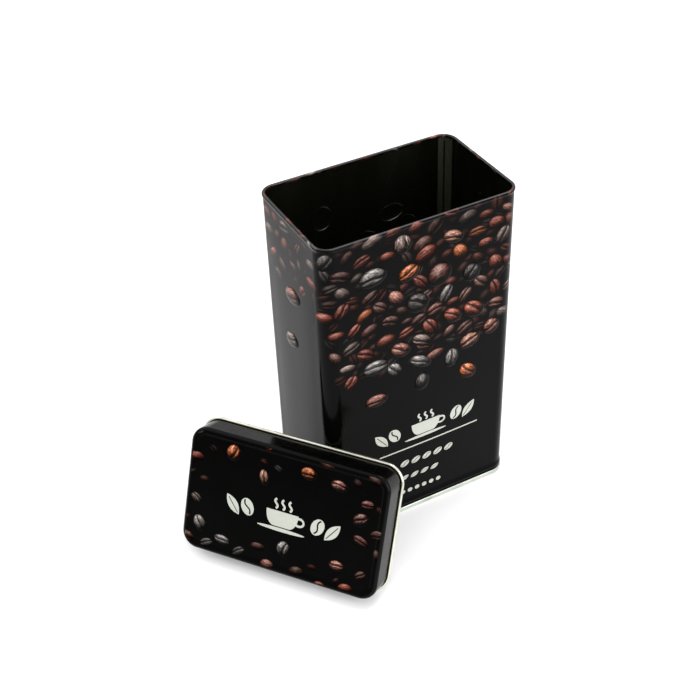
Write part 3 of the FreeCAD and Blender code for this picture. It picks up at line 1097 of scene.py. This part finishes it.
def side_seam():
    """The welded lap of the side seam: a pressed rib up the inside of the back right corner."""
    inside = TIN_CORNER - SHEET
    half_turn = WELD_LAP / 2 / inside
    centre = (TIN_LENGTH / 2 - TIN_CORNER, TIN_WIDTH / 2 - TIN_CORNER)
    section = []
    for turn, depth in ((-1.0, 0.0), (-0.8, 0.75), (-0.45, 1.0), (0.45, 1.0), (0.8, 0.75), (1.0, 0.0)):
        a = math.radians(WELD_TURN) + turn * half_turn
        section.append((a, inside - WELD_PROUD * depth))
    section += [(a, inside + SHEET / 2) for a, _ in (section[-1], section[0])]
    rows = 240
    verts, faces = [], []
    rng = random.Random(WELD_SEED)
    for row in range(rows + 1):
        z = WELD_BOTTOM + (WELD_TOP - WELD_BOTTOM) * row / rows
        nugget = WELD_RIPPLE * rng.uniform(-1, 1)
        for i, (a, radius) in enumerate(section):
            reach = radius + (nugget if 0 < i < 5 else 0)
            verts.append((centre[0] + reach * math.sin(a), centre[1] + reach * math.cos(a), z))
    count = len(section)
    for row in range(rows):
        for i in range(count):
            a, b = row * count + i, row * count + (i + 1) % count
            faces.append((a, b, b + count, a + count))
    faces.append(tuple(range(count))[::-1])
    faces.append(tuple(rows * count + i for i in range(count)))
    mesh = bpy.data.meshes.new("side_seam")
    mesh.from_pydata([tuple(v * MM for v in vert) for vert in verts], [], faces)
    mesh.materials.append(WELD)
    mesh.update()
    obj = add_object("side_seam", mesh)
    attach(obj, "tin")
    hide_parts("body_wall")


WALL_BEANS, PRESSED_BEANS = wall_print()
for wall_side in SIDE_STARTS:
    wall_panel(wall_side, WALL_BEANS, PRESSED_BEANS)
side_seam()


# ------------------------ the lid


def lean():
    """The lid's place at rest: one long hem on the floor, the other against the tin's corner."""
    yaw, tilt = math.radians(LEAN_YAW), math.radians(LEAN_TILT)
    away = Vector((-math.sin(yaw), -math.cos(yaw), 0))
    along = Vector((math.cos(yaw), -math.sin(yaw), 0))
    outwards = away * math.sin(tilt) + Vector((0, 0, math.cos(tilt)))
    upwards = outwards.cross(along)
    hem_radius = HEM_ROLL + SHEET / 2
    hem_up = LID_WIDTH / 2 - SHEET / 2 + HEM_ROLL
    upper_hem = upwards * hem_up + outwards * hem_radius
    lower_hem = outwards * hem_radius - upwards * hem_up
    corner = Vector((TIN_CORNER - TIN_LENGTH / 2, TIN_CORNER - TIN_WIDTH / 2, 0))
    reach = TIN_CORNER + LEAN_CLEAR + hem_radius
    middle = corner + along * LEAN_ALONG + away * (reach - upper_hem.dot(away))
    middle.z = hem_radius - lower_hem.z
    turn = np.array([along, upwards, outwards])
    return lambda points: points @ turn + np.array(middle)


LEAN = lean()
LID_RING = outline(LID_LENGTH, LID_WIDTH, LID_CORNER)
LID_FRAME_Z = LID_HEIGHT - SHEET / 2
LID_FRAME_OUT = -SHEET / 2 - LID_EDGE
LID_PROFILE = Track(
    (LID_FRAME_OUT, LID_FRAME_Z),
    0,
    [
        ("bend", -90, LID_EDGE),
        ("run", LID_FRAME_Z - LID_EDGE - HEM_ROLL - SHEET / 2),
        ("bend", HEM_WRAP, HEM_ROLL),
    ],
)


def lid_skirt_point(s, p, lift):
    """The lid's edge, skirt and hem: distance round, distance down the profile, and off the sheet."""
    ring_length = LID_RING.last - LID_RING.first
    x, y, round_heading = LID_RING.at((s - LID_RING.first) % ring_length + LID_RING.first)
    out, z, heading = LID_PROFILE.at(p)
    out = out - lift * np.sin(heading)
    z = z + lift * np.cos(heading)
    return LEAN(np.stack([x + out * np.sin(round_heading), y - out * np.cos(round_heading), z], -1))


def lid_inset(x, y):
    """How far inside the skirt's outline a place on the lid's top is."""
    qx = np.abs(x) - (LID_LENGTH / 2 - LID_CORNER)
    qy = np.abs(y) - (LID_WIDTH / 2 - LID_CORNER)
    outside = np.hypot(np.maximum(qx, 0), np.maximum(qy, 0)) + np.minimum(np.maximum(qx, qy), 0)
    return LID_CORNER - outside


STEP_RUN = LID_STEP * math.sin(math.radians(LID_SLOPE))
STEP_START = -LID_FRAME_OUT + LID_FRAME
STEP_DROP = LID_STEP * (1 - math.cos(math.radians(LID_SLOPE)))


def lid_top_point(x, y, lift):
    """The lid's recessed top: frame, step and panel, with its pressed beans."""
    inset = lid_inset(x, y) - STEP_START
    first = np.clip(inset, 0, STEP_RUN)
    second = np.clip(2 * STEP_RUN - inset, 0, STEP_RUN)
    drop_first = LID_STEP - np.sqrt(LID_STEP**2 - first**2)
    drop_second = 2 * STEP_DROP - (LID_STEP - np.sqrt(LID_STEP**2 - second**2))
    drop = np.where(inset < STEP_RUN, drop_first, drop_second)
    slope = np.where(inset < STEP_RUN, first, second) / LID_STEP
    z = LID_FRAME_Z - drop + lift / np.sqrt(1 - slope**2) + bean_height(x, y, LID_BEANS)
    return LEAN(np.stack([x, y, z], -1))


def lid_density(x, y):
    """Beans lie round the lid's edge and leave its middle plain."""
    return 1 - band(float(lid_inset(x, y)), 8, 15)


def even_shade(_):
    """The lid's print is evenly lit."""
    return 1.0


def lid_print():
    """The lid's printed beans and emblem, farthest first."""
    rng = random.Random(LID_SEED)
    half_x, half_y = LID_LENGTH / 2, LID_WIDTH / 2
    heap = ((-half_x, half_x, -half_y, half_y), lid_density, even_shade)
    taken = [(b[0], b[1], (b[2] + b[3]) / 2) for b in LID_BEANS]
    near = scatter(rng, heap, 110, (3.8, 5.2), (0.1, 0.45), (0.35, 0.75), 1.25, taken)
    far = scatter(rng, heap, 140, (2.6, 4.0), (0.6, 0.95), (0.10, 0.30), 1.1, taken)
    return far + near + pressed_shapes(LID_BEANS, rng) + emblem(0, -1.5, 68, 19)


def ring_points(inset, degrees=7.5):
    """Points round the lid's outline moved inwards."""
    line = outline(LID_LENGTH - 2 * inset, LID_WIDTH - 2 * inset, LID_CORNER - inset)
    x, y, _ = line.at(line.stops(degrees)[:-1])
    return list(zip(x.tolist(), y.tolist()))


def hem_paint(_, p):
    """Lacquer inside the lid, bare tinplate on the hem, where the inside of the sheet turns out."""
    return HEM_METAL if p > LID_PROFILE.last - math.radians(HEM_WRAP) * HEM_ROLL - BARE_EDGE else LACQUER


def make_lid():
    shapes = lid_print()
    insets = [STEP_START + 2 * STEP_RUN * i / 8 for i in range(9)]
    loops = [ring_points(inset) for inset in insets]
    for bean in LID_BEANS:
        loops += [bean_outline(bean, 32, size) for size in PRESS_RINGS]
    flat, triangles, tops = cut_flat(ring_points(-LID_FRAME_OUT), [], shapes, loops)
    top = sheet_mesh("lid_top", flat, triangles, tops, shapes, lid_top_point, top_ink, top_paint)

    s0, s1 = LID_RING.first, LID_RING.last
    low, high = LID_PROFILE.first, LID_PROFILE.last
    lines = [((s, low), (s, high)) for s in LID_RING.stops(7.5)[1:-1]]
    lines += [((s0, p), (s1, p)) for p in LID_PROFILE.stops(15)[1:-1]]
    border = [(s0, low), (s1, low), (s1, high), (s0, high)]
    flat, triangles, tops = cut_flat(border, lines, [], [])
    flat, triangles = closed_ring(flat, triangles)
    skirt = sheet_mesh(
        "lid_skirt", flat, triangles, tops, [], lid_skirt_point, skirt_ink, hem_paint, flip=True
    )
    for piece in (top, skirt):
        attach(piece, "lid")
        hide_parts("lid")


make_lid()

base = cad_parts["base_panel"]
base.data.materials.clear()
base.data.materials.append(TINPLATE)


# ------------------------ floor, light and camera


# Camera: yaw, pitch and roll in degrees, place in metres, lens and sensor width in millimetres
CAMERA_TURN = (27.04, 38.45, -2.23)
CAMERA_PLACE = (-0.2655, -0.4717, 0.5181)
CAMERA_LENS = 65.24
CAMERA_SENSOR = 36.0


def make_floor():
    reach = 6.0
    corners = [(-reach, -reach, 0), (reach, -reach, 0), (reach, reach, 0), (-reach, reach, 0)]
    mesh = bpy.data.meshes.new("floor")
    mesh.from_pydata(corners, [], [(0, 1, 2, 3)])
    floor = add_object("floor", mesh)
    finish = Finish("floor_white")
    grain = finish.noise(finish.place(), 30, 2)
    finish.link(finish.mix(grain, (0.86, 0.86, 0.86), (0.89, 0.89, 0.89)), "Base Color")
    finish.set(Roughness=0.9, IOR=1.1)
    mesh.materials.append(finish.material)


def soft_box(name, place, target, width, height, watts):
    lamp = bpy.data.lights.new(name, "AREA")
    lamp.shape = "RECTANGLE"
    lamp.size = width
    lamp.size_y = height
    lamp.energy = watts
    obj = add_object(name, lamp)
    obj.location = place
    obj.rotation_euler = (Vector(target) - Vector(place)).to_track_quat("-Z", "Y").to_euler()


def make_light():
    world = bpy.data.worlds.new("studio")
    world.use_nodes = True
    tree = world.node_tree
    place = tree.nodes.new("ShaderNodeTexCoord")
    split = tree.nodes.new("ShaderNodeSeparateXYZ")
    tree.links.new(place.outputs["Generated"], split.inputs[0])
    glow = Wire(tree, split.outputs["Z"]).ramp(0.0, 0.55, 0.45, 1.25)
    background = tree.nodes["Background"]
    background.inputs["Color"].default_value = (1.0, 1.0, 1.0, 1.0)
    tree.links.new(glow.socket, background.inputs["Strength"])
    bpy.context.scene.world = world
    target = (0, 0, 0.08)
    soft_box("back_left_box", (-0.9, 0.9, 1.3), target, 1.4, 1.4, 7)
    soft_box("top_box", (0.52, 0.1, 1.6), target, 0.7, 0.9, 9)
    soft_box("front_box", (0.2, -1.7, 0.9), target, 1.2, 1.2, 26)


def make_camera():
    yaw, pitch, roll = (math.radians(angle) for angle in CAMERA_TURN)
    ahead, down = math.cos(pitch), math.sin(pitch)
    forward = Vector((math.sin(yaw) * ahead, math.cos(yaw) * ahead, -down))
    level = Vector((math.cos(yaw), -math.sin(yaw), 0))
    up = level.cross(forward)
    right = level * math.cos(roll) + up * math.sin(roll)
    top = up * math.cos(roll) - level * math.sin(roll)
    data = bpy.data.cameras.new("camera")
    data.sensor_width = CAMERA_SENSOR
    data.lens = CAMERA_LENS
    camera = add_object("camera", data)
    turn = Matrix((right, top, -forward)).transposed().to_4x4()
    camera.matrix_world = Matrix.Translation(CAMERA_PLACE) @ turn
    bpy.context.scene.camera = camera


make_floor()
make_light()
make_camera()
bpy.context.scene.view_settings.view_transform = "Standard"

bpy.context.view_layer.update()
